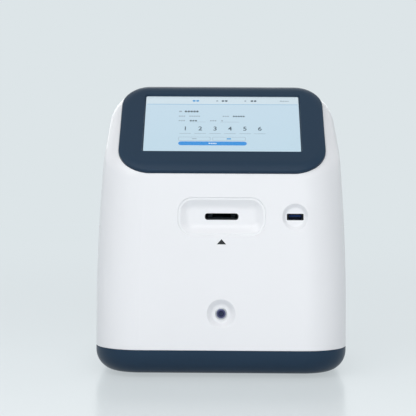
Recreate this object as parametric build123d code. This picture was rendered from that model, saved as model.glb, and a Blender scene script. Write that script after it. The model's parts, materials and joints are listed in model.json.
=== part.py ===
from build123d import *
from math import atan, cos, degrees, radians, sin, sqrt, tan
import os

# Automated cell counter for the bench: a moulded two-part case with a sloping touch screen,
# a slot for a counting slide, and behind it a small motorised microscope.
# Millimetres. +Z is up, the front faces -Y, and the origin is on the bench under the
# middle of the case.

# ---------------------------------------------------------------- case
body_width = 240.0
body_depth = 226.0
housing_top = 274.0
seam_z = 26.7               # joint between the base tub and the upper housing
tub_bottom = 2.9
wall = 3.0
front_lean = radians(3.5)   # the front leans back
back_lean = radians(1.5)    # the back leans forward
side_bow_radius = 1700.0    # the sides bow in towards the top
side_bow_z = 60.0
corner_round = 43.0         # upright corners
top_round = 38.0            # shoulders
screen_edge_round = 20.0    # edge of the sloping face
tub_round = 20.0            # belly of the tub
seam_round = 0.7            # the two edges that make the seam's groove
lip_height = 3.0            # the tub's lip inside the housing
lip_wall = 1.4
fit_gap = 0.1               # loose fit between fixed pieces, each side
merge = 0.5                 # overlap that fuses a pad, boss or rib into its wall
past = 1.0                  # how far a cutter runs past what it cuts
near = 0.01                 # tolerance for picking edges and faces by place
run_gap = 0.05              # running fit, each side
front_seam_y = -body_depth / 2
back_seam_y = body_depth / 2

# ---------------------------------------------------------------- screen
screen_slope = radians(40)
screen_setback = 60.2       # middle of the glass behind the front of the seam
screen_drop = 34.5          # middle of the glass below the housing's top
screen_sink = 1.0           # housing face below the glass face
bezel_skin = 3.0
bezel_rise = bezel_skin - screen_sink
bezel_gap = 0.2
bezel_side = 21.5           # side of the case to side of the bezel
bezel_above = 59.0          # from the middle of the glass, up the slope
bezel_below = 68.5
bezel_corner = 30.0
bezel_edge_round = 1.2
bezel_border = 23.5         # side of the bezel to its window
window_height = 84.0
window_bevel = 1.5
window_corner = 1.5
glass_margin = 7.0          # glass under the window's rim
glass_thickness = 1.6
glass_corner = 4.0
bond_gap = 0.2              # clear bond between glass and panel
panel_margin = 7.5
panel_thickness = 5.7
panel_corner = 1.0
skirt_wall = 5.0
skirt_corner = 12.0
pocket_gap = 0.5
opening_gap = 0.5           # skirt to the housing's opening
bracket_thickness = 1.2
bracket_rim = 10.0
bracket_corner = 3.0
bracket_windows = 3
bracket_strap = 10.0
bracket_posts_v = (-38.0, 18.0)
bracket_post_radius = 3.5
bracket_screw_grip = 3.0
post_to_skirt = 6.0         # middle of a bracket post to the skirt
bezel_half_width = body_width / 2 - bezel_side
window_width = 2 * (bezel_half_width - bezel_border)
glass_width = window_width + 2 * glass_margin
glass_height = window_height + 2 * glass_margin
panel_width = window_width + 2 * panel_margin
panel_height = window_height + 2 * panel_margin
skirt_width = panel_width + 2 * pocket_gap + 2 * skirt_wall
skirt_height = panel_height + 2 * pocket_gap + 2 * skirt_wall
bracket_post_x = skirt_width / 2 + post_to_skirt
screen_y = front_seam_y + screen_setback
screen_z = housing_top - screen_drop
panel_front = -glass_thickness - bond_gap
panel_back = panel_front - panel_thickness

# ---------------------------------------------------------------- slide slot in the front
slot_z = 152.1
slot_width = 31.7
slot_height = 6.2
slot_corner = 2.6
slot_dish_width = 82.2
slot_dish_height = 35.9
slot_dish_corner = 14.0
slot_dish_depth = 5.2
slot_dish_flare = 6.4       # how far the wall slopes in
slot_dish_floor_round = 8.0
slot_rim_band = 2.3         # step round the dish
slot_rim_depth = 0.8
slot_rim_edge = 0.5
slot_pad_wall = 4.5
pad_margin = 1.0            # pad behind a dish, past the dish's edge
rim_round = 0.8
throat_width = 30.0
throat_height = 4.8
nose_below_floor = 0.6
tunnel_wall = 2.0
tunnel_reach = 15.5
guide_flange_width = 50.0
guide_flange_height = 16.0
guide_flange = 3.0
guide_screw_x = 20.5
guide_corner = 3.0
tunnel_corner = 1.5

# ---------------------------------------------------------------- USB socket
usb_inset = 50.9            # middle of the socket in from the side of the case
usb_dish_radius = 12.4
usb_dish_depth = 3.6
usb_dish_flare = 3.3
usb_cut_width = 15.8
usb_cut_height = 6.1
usb_cut_corner = 0.8
usb_pad_wall = 2.8
usb_shell_width = 13.1
usb_shell_height = 5.7
usb_shell_length = 14.0
usb_sheet = 0.3
usb_shell_corner = 0.6
usb_back = 1.0              # closed back of the shell's bore
usb_ear_x = 14.5
usb_ear_radius = 3.0
usb_ear_height = 8.0
usb_ear = 1.8
usb_body_wall = 2.5
usb_body_corner = 1.5
usb_body_length = 12.0
usb_recess = 0.6            # shell's front behind the dish's floor
usb_tongue_width = 11.1
usb_tongue_height = 1.9
usb_tongue_length = 11.5
usb_tongue_gap = 0.6        # tongue under the shell's top
usb_x = body_width / 2 - usb_inset

# ---------------------------------------------------------------- power button
button_z = 61.2
button_dish_radius = 13.5
button_dish_depth = 4.5
button_dish_flare = 4.8
button_pad_wall = 3.0
button_radius = 4.3
button_length = 6.0
button_proud = 1.1          # front of the cap in front of the bushing's ring
button_gap = 0.8            # stem to the end of its bore, fully pressed
lens_recess = 0.05
button_travel = 1.2
button_stem_radius = 1.6
button_stem_length = 5.5
button_lens_radius = 2.7
button_lens = 0.6
button_round = 0.6
bushing_radius = 5.0
bushing_flange_radius = 5.7
bushing_flange = 1.4
bushing_length = 13.0
bushing_base = 4.0          # closed end round the stem
nut_thickness = 2.5
nut_flats = 14.0
switch_width = 15.0
switch_length = 12.0
switch_pin_x = 4.0
switch_pin_length = 5.0
switch_pin_width = 3.0
switch_pin_thickness = 0.8
switch_pin_edge = 0.2

# ---------------------------------------------------------------- screws (threads left plain)
m3 = 1.5
m3_head = 2.8
m3_head_height = 2.0
m25 = 1.25
m25_head = 2.25
m25_head_height = 1.6
head_dome = 0.45            # share of the head's height that is rounded
socket_floor = 0.4          # share of the head's height under its socket
thread_gap = 0.05
skin = 1.5                  # plastic left over the end of a blind screw hole
bore_gap = 0.2

# ---------------------------------------------------------------- base
boss_inset = 30.0           # base screw bosses, in from the sides and from front and back
boss_radius = 5.5
housing_boss_radius = 4.5
housing_boss_height = 31.0
rib = 2.0
rib_gap = 1.0               # under the ribs, over the tub's lip
hole_spare = 2.0            # blind hole past the end of its screw
base_screw_seat = 7.0       # underside of the tub to the screw head's seat
base_screw_length = 27.0
foot_radius = 8.0
foot_inset_x = 44.0
foot_inset_y = 45.0
foot_recess = 1.0
foot_chamfer = 0.8
standoff_radius = 4.5
chassis_lift = 6.1          # tub floor to chassis plate
chassis_sheet = 1.5
chassis_margin_x = 38.0
chassis_margin_y = 14.0
chassis_screw_inset = 10.0
vent_slot = 2.6
vent_length = 46.0
vent_pitch = 7.0
vent_count = 7
chassis_corner = 6.0
chassis_vents = 5
chassis_vent_pitch = 9.4
chassis_vent_y = 38.0       # middle of the chassis vents in front of the optical axis
tub_floor = tub_bottom + wall
chassis_top = tub_floor + chassis_lift + chassis_sheet
boss_x = body_width / 2 - boss_inset
boss_y = body_depth / 2 - boss_inset
chassis_x = body_width / 2 - chassis_margin_x
chassis_y = body_depth / 2 - chassis_margin_y

# ---------------------------------------------------------------- stage
optic_x = 0.0
deck_half_width = 60.0
deck_thickness = 6.0
deck_behind_front = 27.0
deck_rear_space = 52.0      # behind the deck, for the motor
deck_aperture = 13.0
deck_corner = 5.0
rod_socket = 3.0            # focus rods into the deck
deck_drop = 8.1             # middle of the slot to the deck's top
stage_rod_x = 38.0
stage_rod_radius = 3.0
stage_axis_drop = 2.1       # middle of the slot to the rods' axis
support_width = 12.0
support_length = 8.0
support_height = 12.0
support_setback = 2.0       # from the deck's front edge
support_slit = 1.2
screw_support_width = 10.0
carriage_half_width = 46.0
carriage_length = 84.0
carriage_height = 10.5
carriage_lift = 1.0         # above the deck
carriage_corner = 3.0
carriage_behind_front = 39.0
optic_behind_carriage = 60.0
channel_width = 27.0
channel_length = 78.0
channel_floor_drop = 2.4
channel_window = 18.0
window_end = 8.0            # channel floor left at each end of the window
rod_relief = 0.5            # carriage bore round the rods between the bushes
screw_relief = 1.0
flag_reach = 8.0
flag_start = 16.0
flag_length = 6.0
flag_thickness = 1.2
flag_drop = 1.2             # middle of the flag under the rods' axis
sensor_wall = 3.0
sensor_length = 10.0
sensor_slot = 3.0
bush_radius = 5.0
bush_length = 14.0
stage_screw_x = 22.5
screw_radius = 2.0
nut_radius = 5.0
stage_nut = 3.0
motor_size = 20.0
motor_length = 28.0
motor_corner = 3.0
motor_cap = 7.0             # end caps, proud of the laminations between them
motor_groove = 0.4
motor_bore_depth = 9.0
motor_plate_margin = 2.0
shaft_reach = 8.0           # screw end inside the motor
motor_plate = 3.0
side_plate_x = 52.0
side_plate = 5.0
side_plate_length = 108.0
side_plate_windows = 3
side_plate_bar = 12.0       # metal left round the windows
side_plate_flange = 12.0
side_flange_thickness = 4.0
side_plate_setback = 2.0    # behind the deck's front edge
side_window_corner = 6.0
deck_top = slot_z - deck_drop
deck_low = deck_top - deck_thickness
deck_front = front_seam_y + deck_behind_front
deck_rear = back_seam_y - deck_rear_space
stage_axis_z = slot_z - stage_axis_drop
carriage_front = front_seam_y + carriage_behind_front
optic_y = carriage_front + optic_behind_carriage
carriage_rear = carriage_front + carriage_length
carriage_low = deck_top + carriage_lift
carriage_top = carriage_low + carriage_height

# ---------------------------------------------------------------- focus drive and optics
focus_offset = 28.0         # rods and screw behind the optical axis
focus_rod_x = 24.0
focus_rod_radius = 2.5
focus_carriage_half = 32.0
focus_carriage_depth = 20.0
focus_carriage_height = 30.0
focus_clamp_height = 14.0
focus_clamp_wall = 4.0
focus_clamp_neck = 20.0
focus_clamp_slit = 1.6
focus_screw_gap = 8.0       # top of the focus screw under the deck
focus_carriage_lift = 11.4  # above the lower end of the tube
focus_nut = 3.0
focus_travel = 2.0          # each way
objective_clear = 1.5       # objective to slide carriage at the top of its travel
objective_length = 21.5
objective_radius = 10.0
objective_nose = 2.5
objective_thread = 4.0
objective_bore = 5.0
objective_lens_radius = 6.0
objective_lens_seat = 3.0
objective_lens_height = 2.4
grip_grooves = (4.0, 6.0, 8.0)
grip_width = 0.8
grip_depth = 0.4
tube_radius = 12.0
tube_bore = 9.0
tube_length = 61.4
tube_flange_radius = 15.0
tube_flange = 3.0
camera_size = 32.0
board_sheet = 1.6
sensor_size = 9.0
sensor_height = 1.4
condenser_gap = 6.5         # condenser above the slide carriage
condenser_length = 28.0
condenser_radius = 11.0
condenser_wall = 2.0
condenser_lens_seat = 5.0
condenser_lens_height = 5.0
condenser_mouth = 6.0       # radius of the clear opening below the lens
led_size = 3.6
led_height = 1.2
arm_thickness = 8.0
arm_width = 20.0
arm_post = 9.0
arm_gap = 4.0
arm_lift = 14.0
arm_ring = 4.0
arm_corner = 6.0
focus_y = optic_y + focus_offset
objective_top = carriage_low - focus_travel - objective_clear
objective_low = objective_top - objective_length
tube_low = objective_low - tube_length
focus_motor_top = chassis_top + motor_length
focus_carriage_low = tube_low + focus_carriage_lift
focus_carriage_top = focus_carriage_low + focus_carriage_height

# ---------------------------------------------------------------- electronics
board_side_margin = 20.0    # board in from the chassis plate's side
board_behind_focus = 16.0
board_rear_margin = 5.0
board_lift = 6.0
board_corner = 3.0
standoff_flats = 6.0
board_screw_inset = 6.0
sink_inset = 32.0           # middle of the heat sink in from the board's side
sink_margin = 12.0          # heat sink in from the board's front and rear
sink_width = 40.0
sink_base = 3.0
sink_height = 14.0
sink_fins = 9
sink_fin = 1.6
processor_half = 14.0
processor_margin = 6.0      # processor in from the heat sink's front and rear
chip_height = 2.0
chips = 3
chip_inset = 8.0
chip_pitch = 16.0
chip_width = 10.0
chip_depth = 14.0
low_chip_height = 1.2
connectors = 4
connector_inset = 12.0
connector_pitch = 20.0
connector_width = 12.0
connector_depth = 6.0
connector_height = 6.0
connector_margin = 3.0      # from the board's front edge
board_z = chassis_top + board_lift
board_half_width = chassis_x - board_side_margin
board_front = focus_y + board_behind_focus
board_depth = chassis_y - board_rear_margin - board_front
sink_x = board_half_width - sink_inset
sink_depth = board_depth - 2 * sink_margin

# ---------------------------------------------------------------- rear panel
rear_z = 79.0
rear_side = 50.0            # side of the case to side of the panel
rear_height = 74.0
rear_sheet = 1.6
rear_corner = 4.0
rear_ledge = 6.0
rear_screw_inset = 5.0
rear_boss_radius = 3.6
rear_boss_length = 5.0
rear_edge = 0.3
fan_margin = 3.0            # fan to the edge of the opening
fan_size = 50.0
fan_depth = 15.0
fan_bore = 23.5
fan_corner = 4.0
fan_screw_pitch = 40.0
fan_wall = 2.5
fan_hub_radius = 10.0
fan_hub_length = 9.0
fan_tip_gap = 0.8
fan_blades = 7
fan_blade = 1.3
fan_blade_pitch = 38.0
fan_shaft_gap = 0.4
fan_shaft_radius = 1.5
fan_plate = 2.4
fan_strut = 3.0
fan_struts = 3
fan_screw_length = 13.6
fan_axial_gap = 0.5
grille_slot = 2.6
grille_pitch = 4.8
grille_radius = 21.5
grille_slots = 9
inlet_inset = 20.0          # middle of the inlet in from the edge of the opening
inlet_drop = 17.0
inlet_radius = 5.6
inlet_flange_radius = 7.5
inlet_flange = 1.5
inlet_length = 14.0
inlet_bore = 3.6
inlet_bore_depth = 9.5
inlet_pin_radius = 1.0
inlet_pin_drop = 1.0        # pin's tip behind the panel's face
inlet_edge = 0.5
inlet_nut = 2.5
inlet_nut_radius = 8.0
rear_width = body_width - 2 * rear_side
opening_half = rear_width / 2 - rear_ledge
fan_x = opening_half - fan_margin - fan_size / 2      # to the right as seen from behind
inlet_x = inlet_inset - opening_half


# ---------------------------------------------------------------- helpers
def block(x0, x1, y0, y1, z0, z1):
    return Pos((x0 + x1) / 2, (y0 + y1) / 2, (z0 + z1) / 2) * Box(x1 - x0, y1 - y0, z1 - z0)


def post(x, y, radius, z0, z1):
    return Pos(x, y, (z0 + z1) / 2) * Cylinder(radius, z1 - z0)


def bar(x, z, radius, y0, y1):
    return Pos(x, (y0 + y1) / 2, z) * Rot(90, 0, 0) * Cylinder(radius, y1 - y0)


def disc(radius, low, high):
    return Pos(0, 0, (low + high) / 2) * Cylinder(radius, high - low)


def plate(width, height, low, high, corner):
    return Pos(0, 0, low) * extrude(RectangleRounded(width, height, corner), high - low)


def hexagon(flats, low, high):
    return Pos(0, 0, low) * extrude(RegularPolygon(flats / 2, 6, major_radius=False), high - low)


def screw(radius, head_radius, head_height, length):
    """A pan-head screw: its seat is at z=0, its head above and its shank below."""
    head = disc(head_radius, 0, head_height)
    head = fillet(head.edges().group_by(Axis.Z)[-1], head_height * head_dome)
    socket = hexagon(head_radius, head_height * socket_floor, head_height + past)
    shank = disc(radius, -length, 0.2)
    return head + shank - socket


def front_y(z):
    return front_seam_y + (z - seam_z) * tan(front_lean)


def back_y(z):
    return back_seam_y - (z - seam_z) * tan(back_lean)


def front_frame(x, z):
    """A frame on the front face: x to the right, y up the face, z out of the case."""
    out = (0, -cos(front_lean), sin(front_lean))
    return Plane(origin=(x, front_y(z), z), x_dir=(1, 0, 0), z_dir=out)


def back_frame(x, z):
    """A frame on the back face, as seen from behind: z out of the case."""
    out = (0, cos(back_lean), sin(back_lean))
    return Plane(origin=(-x, back_y(z), z), x_dir=(-1, 0, 0), z_dir=out)


def screen_frame():
    """A frame on the glass: x to the right, y up the slope, z out of the case."""
    out = (0, -sin(screen_slope), cos(screen_slope))
    return Plane(origin=(0, screen_y, screen_z), x_dir=(1, 0, 0), z_dir=out)


def all_four(x, y):
    return [(i * x, j * y) for i in (-1, 1) for j in (-1, 1)]


# ---------------------------------------------------------------- case
def housing_side(offset, low, top):
    """Front, back, bottom and top of the housing, seen from the side."""
    front_out = offset / cos(front_lean)
    back_out = offset / cos(back_lean)
    corners = [
        (front_y(low) - front_out, low),
        (back_y(low) + back_out, low),
        (back_y(top) + back_out, top),
        (front_y(top) - front_out, top),
    ]
    return extrude(Plane.YZ * make_face(Polyline(*corners, close=True)), body_width, both=True)


def housing_front(offset, low, top):
    """The bowed sides of the housing, seen from the front."""
    half = body_width / 2 + offset
    centre = body_width / 2 - side_bow_radius
    radius = side_bow_radius + offset

    def bowed(z):
        return centre + sqrt(radius ** 2 - (z - side_bow_z) ** 2)

    middle = (side_bow_z + top) / 2
    outline = [
        Line((-half, low), (half, low)),
        Line((half, low), (half, side_bow_z)),
        ThreePointArc((half, side_bow_z), (bowed(middle), middle), (bowed(top), top)),
        Line((bowed(top), top), (-bowed(top), top)),
        ThreePointArc((-bowed(top), top), (-bowed(middle), middle), (-half, side_bow_z)),
        Line((-half, side_bow_z), (-half, low)),
    ]
    return extrude(Plane.XZ * make_face(outline), body_depth, both=True)


def housing_form(offset, low):
    """The closed form of the housing above low, with every face moved out by offset."""
    top = housing_top + offset
    form = housing_side(offset, low, top) & housing_front(offset, low, top)
    upright = [e for e in form.edges() if abs(e.tangent_at(0.5).Z) > 0.9]
    form = fillet(upright, corner_round + offset)
    form = fillet(form.edges().group_by(Axis.Z)[-1], top_round + offset)
    above = screen_frame() * Pos(0, 0, offset - screen_sink + body_depth)
    form = form - above * Box(2 * body_width, 2 * body_depth, 2 * body_depth)
    outward = Vector(0, -sin(screen_slope), cos(screen_slope))
    slope = [f for f in form.faces() if (f.normal_at(f.center()) - outward).length < near]
    return fillet(slope[0].edges(), screen_edge_round + offset)


def tub_plan(offset):
    return RectangleRounded(body_width + 2 * offset, body_depth + 2 * offset, corner_round + offset)


def rim_edges(part, frame, width, height):
    """The edges of a dish's rim, which lie in the frame's plane."""
    chosen = []
    for edge in part.edges():
        place = frame.to_local_coords(edge.center())
        if abs(place.Z) < near and abs(place.X) < width / 2 + near and abs(place.Y) < height / 2 + near:
            chosen.append(edge)
    return chosen


def slot_dish():
    """Cutter for the slot's dish: a shallow step, then walls that slope down to a flat floor."""
    step = plate(slot_dish_width, slot_dish_height, -slot_rim_depth, 1, slot_dish_corner)
    width = slot_dish_width - 2 * slot_rim_band
    height = slot_dish_height - 2 * slot_rim_band
    depth = slot_dish_depth - slot_rim_depth
    rim = Pos(0, 0, -slot_rim_depth) * RectangleRounded(width, height, slot_dish_corner - slot_rim_band)
    scoop = extrude(rim, -depth, taper=degrees(atan(slot_dish_flare / depth)))
    scoop = fillet(scoop.edges().group_by(Axis.Z)[0], slot_dish_floor_round)
    dish = step + scoop
    inner = [e for e in dish.edges() if abs(e.center().Z + slot_rim_depth) < near
             and abs(e.center().X) < width / 2 + near and abs(e.center().Y) < height / 2 + near]
    return fillet(inner, rim_round)


def round_dish(radius, depth, flare):
    """Cutter for a round dish that opens at z=0, its wall sloping in and rounding into the floor."""
    slope = flare / depth
    profile = Polyline((0, 1), (radius + slope, 1), (radius - flare, -depth), (0, -depth), close=True)
    dish = revolve(Plane.XZ * make_face(profile), Axis.Z)
    return fillet(dish.edges().group_by(Axis.Z)[0], depth * 0.6)


def add_slot_dish(housing):
    frame = front_frame(0, slot_z)
    behind = -slot_dish_depth - slot_pad_wall
    pad = plate(slot_dish_width + 2 * pad_margin, slot_dish_height + 2 * pad_margin, behind, merge - wall,
                slot_dish_corner + pad_margin)
    housing = housing + frame * pad
    housing = housing - frame * slot_dish()
    housing = fillet(rim_edges(housing, frame, slot_dish_width, slot_dish_height), slot_rim_edge)
    housing = housing - frame * plate(slot_width, slot_height, behind - past, 0, slot_corner)
    hole = disc(m25 + thread_gap, behind - past, -slot_dish_depth - skin)
    for x in (-guide_screw_x, guide_screw_x):
        housing = housing - frame * (Pos(x, 0, 0) * hole)
    return housing


def add_usb_dish(housing):
    frame = front_frame(usb_x, slot_z)
    behind = -usb_dish_depth - usb_pad_wall
    housing = housing + frame * disc(usb_dish_radius + pad_margin, behind, merge - wall)
    for x in (-usb_ear_x, usb_ear_x):
        housing = housing + frame * (Pos(x, 0, 0) * disc(usb_ear_radius, behind, merge - wall))
    housing = housing - frame * round_dish(usb_dish_radius, usb_dish_depth, usb_dish_flare)
    housing = fillet(rim_edges(housing, frame, 2 * usb_dish_radius, 2 * usb_dish_radius), rim_round)
    housing = housing - frame * plate(usb_cut_width, usb_cut_height, behind - past, 0, usb_cut_corner)
    housing = housing - frame * usb_body_form(fit_gap)
    seat = behind - usb_ear
    for x in (-usb_ear_x, usb_ear_x):
        housing = housing - frame * (Pos(x, 0, 0) * disc(m25 + thread_gap, behind - past, -skin))
        head = disc(m25_head + fit_gap, seat - m25_head_height - fit_gap, seat)
        housing = housing - frame * (Pos(x, 0, 0) * head)
    return housing


def add_button_dish(housing):
    frame = front_frame(0, button_z)
    behind = -button_dish_depth - button_pad_wall
    housing = housing + frame * disc(button_dish_radius + pad_margin, behind, merge - wall)
    housing = housing - frame * round_dish(button_dish_radius, button_dish_depth, button_dish_flare)
    housing = fillet(rim_edges(housing, frame, 2 * button_dish_radius, 2 * button_dish_radius), rim_round)
    return housing - frame * disc(bushing_radius + fit_gap, behind - past, 0)


def add_screw_bosses(housing):
    """Four bosses for the base screws, each tied to the walls by two ribs."""
    inside = housing_form(-wall / 2, seam_z - 2)
    top = seam_z + housing_boss_height
    rib_low = seam_z + lip_height + rib_gap
    for x, y in all_four(boss_x, boss_y):
        side = 1 if x > 0 else -1
        rear = 1 if y > 0 else -1
        x_end = side * body_width
        y_end = rear * body_depth
        ribs = block(min(x, x_end), max(x, x_end), y - rib / 2, y + rib / 2, rib_low, top)
        ribs += block(x - rib / 2, x + rib / 2, min(y, y_end), max(y, y_end), rib_low, top)
        housing = housing + (ribs & inside) + post(x, y, housing_boss_radius, seam_z, top)
        tip = tub_bottom + base_screw_seat + base_screw_length
        housing = housing - post(x, y, m3 + thread_gap, seam_z - past, tip + hole_spare)
    return housing


def add_screen_posts(housing):
    frame = screen_frame()
    for x in (-bracket_post_x, bracket_post_x):
        for v in bracket_posts_v:
            housing = housing + frame * (Pos(x, v, 0) * disc(bracket_post_radius, panel_back, -wall))
            hole = disc(m25 + thread_gap, panel_back - past, merge - wall)
            housing = housing - frame * (Pos(x, v, 0) * hole)
    return housing


def cut_rear_opening(housing):
    frame = back_frame(0, rear_z)
    rebate = plate(rear_width + 2 * fit_gap, rear_height + 2 * fit_gap, -rear_sheet, wall, rear_corner)
    opening = plate(2 * opening_half, rear_height - 2 * rear_ledge, -4 * wall, wall, rear_corner)
    places = all_four(rear_width / 2 - rear_screw_inset, rear_height / 2 - rear_screw_inset)
    for x, v in places:
        boss = disc(rear_boss_radius, -wall - rear_boss_length, -rear_sheet)
        housing = housing + frame * (Pos(x, v, 0) * boss)
    housing = housing - frame * rebate - frame * opening
    for x, v in places:
        hole = disc(m3 + thread_gap, -wall - rear_boss_length - past, 0)
        housing = housing - frame * (Pos(x, v, 0) * hole)
    return housing


def upper_housing():
    outer = housing_form(0, seam_z)
    outer = fillet(outer.edges().group_by(Axis.Z)[0], seam_round)
    housing = outer - housing_form(-wall, seam_z - 2)
    opening = plate(skirt_width + 2 * opening_gap, skirt_height + 2 * opening_gap, 2 * panel_back, bezel_skin,
                    skirt_corner + opening_gap)
    housing = housing - screen_frame() * opening
    housing = add_slot_dish(housing)
    housing = add_usb_dish(housing)
    housing = add_button_dish(housing)
    housing = add_screw_bosses(housing)
    housing = add_screen_posts(housing)
    return cut_rear_opening(housing)


def base_tub():
    height = seam_z - tub_bottom
    tub = Pos(0, 0, tub_bottom) * extrude(tub_plan(0), height)
    tub = fillet(tub.edges().group_by(Axis.Z)[0], tub_round)
    tub = fillet(tub.edges().group_by(Axis.Z)[-1], seam_round)
    hollow = Pos(0, 0, tub_floor) * extrude(tub_plan(-wall), height)
    hollow = fillet(hollow.edges().group_by(Axis.Z)[0], tub_round - wall)
    tub = tub - hollow
    lip_out = -wall - 4 * fit_gap
    lip_in = tub_plan(lip_out - lip_wall)
    root = Pos(0, 0, seam_z - lip_height)
    tub = tub + root * extrude(tub_plan(lip_out) - lip_in, 2 * lip_height)
    tub = tub + root * extrude(tub_plan(merge - wall) - lip_in, lip_height)
    for x, y in all_four(boss_x, boss_y):
        tub = tub + post(x, y, boss_radius, tub_bottom + wall / 2, seam_z)
    for x, y in chassis_screw_places():
        tub = tub + post(x, y, standoff_radius, tub_floor - merge, tub_floor + chassis_lift)
    for x, y in all_four(boss_x, boss_y):
        tub = tub - post(x, y, m3 + bore_gap, 0, seam_z + past)
        tub = tub - post(x, y, m3_head + bore_gap, 0, tub_bottom + base_screw_seat)
    for x, y in chassis_screw_places():
        tub = tub - post(x, y, m3 + thread_gap, tub_floor, chassis_top)
    for x, y in foot_places():
        tub = tub - post(x, y, foot_radius + fit_gap, 0, tub_bottom + foot_recess)
    vent = extrude(SlotOverall(vent_length, vent_slot), 3 * wall)
    for i in range(vent_count):
        tub = tub - Pos(0, (i - (vent_count - 1) / 2) * vent_pitch, 0) * vent
    return tub


def foot_places():
    return all_four(body_width / 2 - foot_inset_x, body_depth / 2 - foot_inset_y)


def rubber_feet():
    feet = []
    for x, y in foot_places():
        foot = post(x, y, foot_radius, 0, tub_bottom + foot_recess)
        feet.append(chamfer(foot.edges().group_by(Axis.Z)[0], foot_chamfer))
    return feet


def base_screws():
    one = Rot(180, 0, 0) * screw(m3, m3_head, m3_head_height, base_screw_length)
    return [Pos(x, y, tub_bottom + base_screw_seat) * one for x, y in all_four(boss_x, boss_y)]


# ---------------------------------------------------------------- screen
def bezel_blank(outer):
    """The bezel's outline cut from the grown housing, with the edge of its skin rounded."""
    frame = screen_frame()
    height = bezel_above + bezel_below
    middle = (bezel_above - bezel_below) / 2
    outline = plate(2 * bezel_half_width, height, -screen_setback, screen_setback, bezel_corner)
    blank = outer & frame * (Pos(0, middle, 0) * outline)
    sides = [f for f in blank.faces() if abs(f.normal_at(f.center()).dot(frame.z_dir)) < near]
    rim = [e for f in sides for e in f.edges() if frame.to_local_coords(e.center()).Z > -bezel_skin]
    return fillet(rim, bezel_edge_round)


def screen_bezel():
    """A skin that wraps over the housing's slope, with a skirt that holds glass and panel."""
    frame = screen_frame()
    outer = housing_form(bezel_skin, seam_z)
    bezel = bezel_blank(outer) - housing_form(bezel_gap, seam_z)
    skirt = plate(skirt_width, skirt_height, panel_back + bezel_gap, 0, skirt_corner)
    bezel = bezel + (outer & frame * skirt)
    width = panel_width + 2 * pocket_gap
    height = panel_height + 2 * pocket_gap
    pocket = plate(width, height, panel_back - past, 0, panel_corner)
    bezel = bezel - frame * pocket
    flare = degrees(atan(window_bevel / bezel_rise))
    window = RectangleRounded(window_width, window_height, window_corner)
    window = extrude(window, bezel_rise + past, taper=-flare)
    return bezel - frame * window


def cover_glass():
    return screen_frame() * plate(glass_width, glass_height, -glass_thickness, 0, glass_corner)


def display_panel():
    return screen_frame() * plate(panel_width, panel_height, panel_back, panel_front, panel_corner)


def display_bracket():
    back = panel_back - bracket_thickness
    width = panel_width - bracket_rim
    height = panel_height - bracket_rim
    bracket = plate(width, height, back, panel_back, bracket_corner)
    span = (width - (bracket_windows + 1) * bracket_rim) / bracket_windows
    for i in range(bracket_windows):
        x = (i - (bracket_windows - 1) / 2) * (span + bracket_rim)
        window = plate(span, height - 2 * bracket_rim, back - past, panel_back + past, bracket_corner)
        bracket = bracket - Pos(x, 0, 0) * window
    strap = plate(2 * bracket_post_x + bracket_strap, bracket_strap, back, panel_back, bracket_corner)
    for v in bracket_posts_v:
        bracket = bracket + Pos(0, v, 0) * strap
    for x in (-bracket_post_x, bracket_post_x):
        for v in bracket_posts_v:
            bracket = bracket - Pos(x, v, 0) * disc(m25 + bore_gap, back - past, panel_back + past)
    return screen_frame() * bracket


def display_screws():
    one = Rot(180, 0, 0) * screw(m25, m25_head, m25_head_height, bracket_thickness + bracket_screw_grip)
    back = panel_back - bracket_thickness
    frame = screen_frame()
    places = [(x, v) for x in (-bracket_post_x, bracket_post_x) for v in bracket_posts_v]
    return [frame * (Pos(x, v, back) * one) for x, v in places]


# ---------------------------------------------------------------- slide guide, button, USB
def slide_guide():
    """Black insert: its nose fills the slot and its tunnel leads the slide to the carriage."""
    behind = -slot_dish_depth - slot_pad_wall
    nose_front = -slot_dish_depth - nose_below_floor
    nose = plate(slot_width - 2 * fit_gap, slot_height - 2 * fit_gap, behind, nose_front,
                 slot_corner - fit_gap)
    flange = plate(guide_flange_width, guide_flange_height, behind - guide_flange, behind, guide_corner)
    tunnel_width = throat_width + 2 * tunnel_wall
    tunnel_height = throat_height + 2 * tunnel_wall
    tunnel = plate(tunnel_width, tunnel_height, behind - tunnel_reach, behind, tunnel_corner)
    guide = front_frame(0, slot_z) * (nose + flange + tunnel)
    start = front_y(slot_z)
    guide = guide - block(-throat_width / 2, throat_width / 2, start, start + 2 * tunnel_reach - behind,
                          slot_z - throat_height / 2, slot_z + throat_height / 2)
    for x in (-guide_screw_x, guide_screw_x):
        hole = Pos(x, 0, 0) * disc(m25 + bore_gap, behind - guide_flange - past, behind + past)
        guide = guide - front_frame(0, slot_z) * hole
    return guide


def guide_screws():
    length = guide_flange + slot_pad_wall - skin - fit_gap
    one = Rot(180, 0, 0) * screw(m25, m25_head, m25_head_height, length)
    seat = -slot_dish_depth - slot_pad_wall - guide_flange
    return [front_frame(0, slot_z) * (Pos(x, 0, seat) * one) for x in (-guide_screw_x, guide_screw_x)]


def button_bushing():
    """Ring on the dish floor and a threaded barrel through the wall, bored for the cap."""
    floor = -button_dish_depth
    ring = disc(bushing_flange_radius, floor, floor + bushing_flange)
    ring = fillet(ring.edges().group_by(Axis.Z)[-1], button_round)
    back = floor - bushing_length
    barrel = disc(bushing_radius, back, floor)
    bored = ring + barrel - disc(button_radius + run_gap, back + bushing_base, floor + bushing_flange + past)
    bored = bored - disc(button_stem_radius + run_gap, back - past, floor)
    return front_frame(0, button_z) * bored


def button_nut():
    behind = -button_dish_depth - button_pad_wall
    nut = hexagon(nut_flats, behind - nut_thickness, behind)
    nut = nut - disc(bushing_radius + thread_gap, behind - nut_thickness - past, behind + past)
    return front_frame(0, button_z) * nut


def button_front():
    return -button_dish_depth + bushing_flange + button_proud


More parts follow.
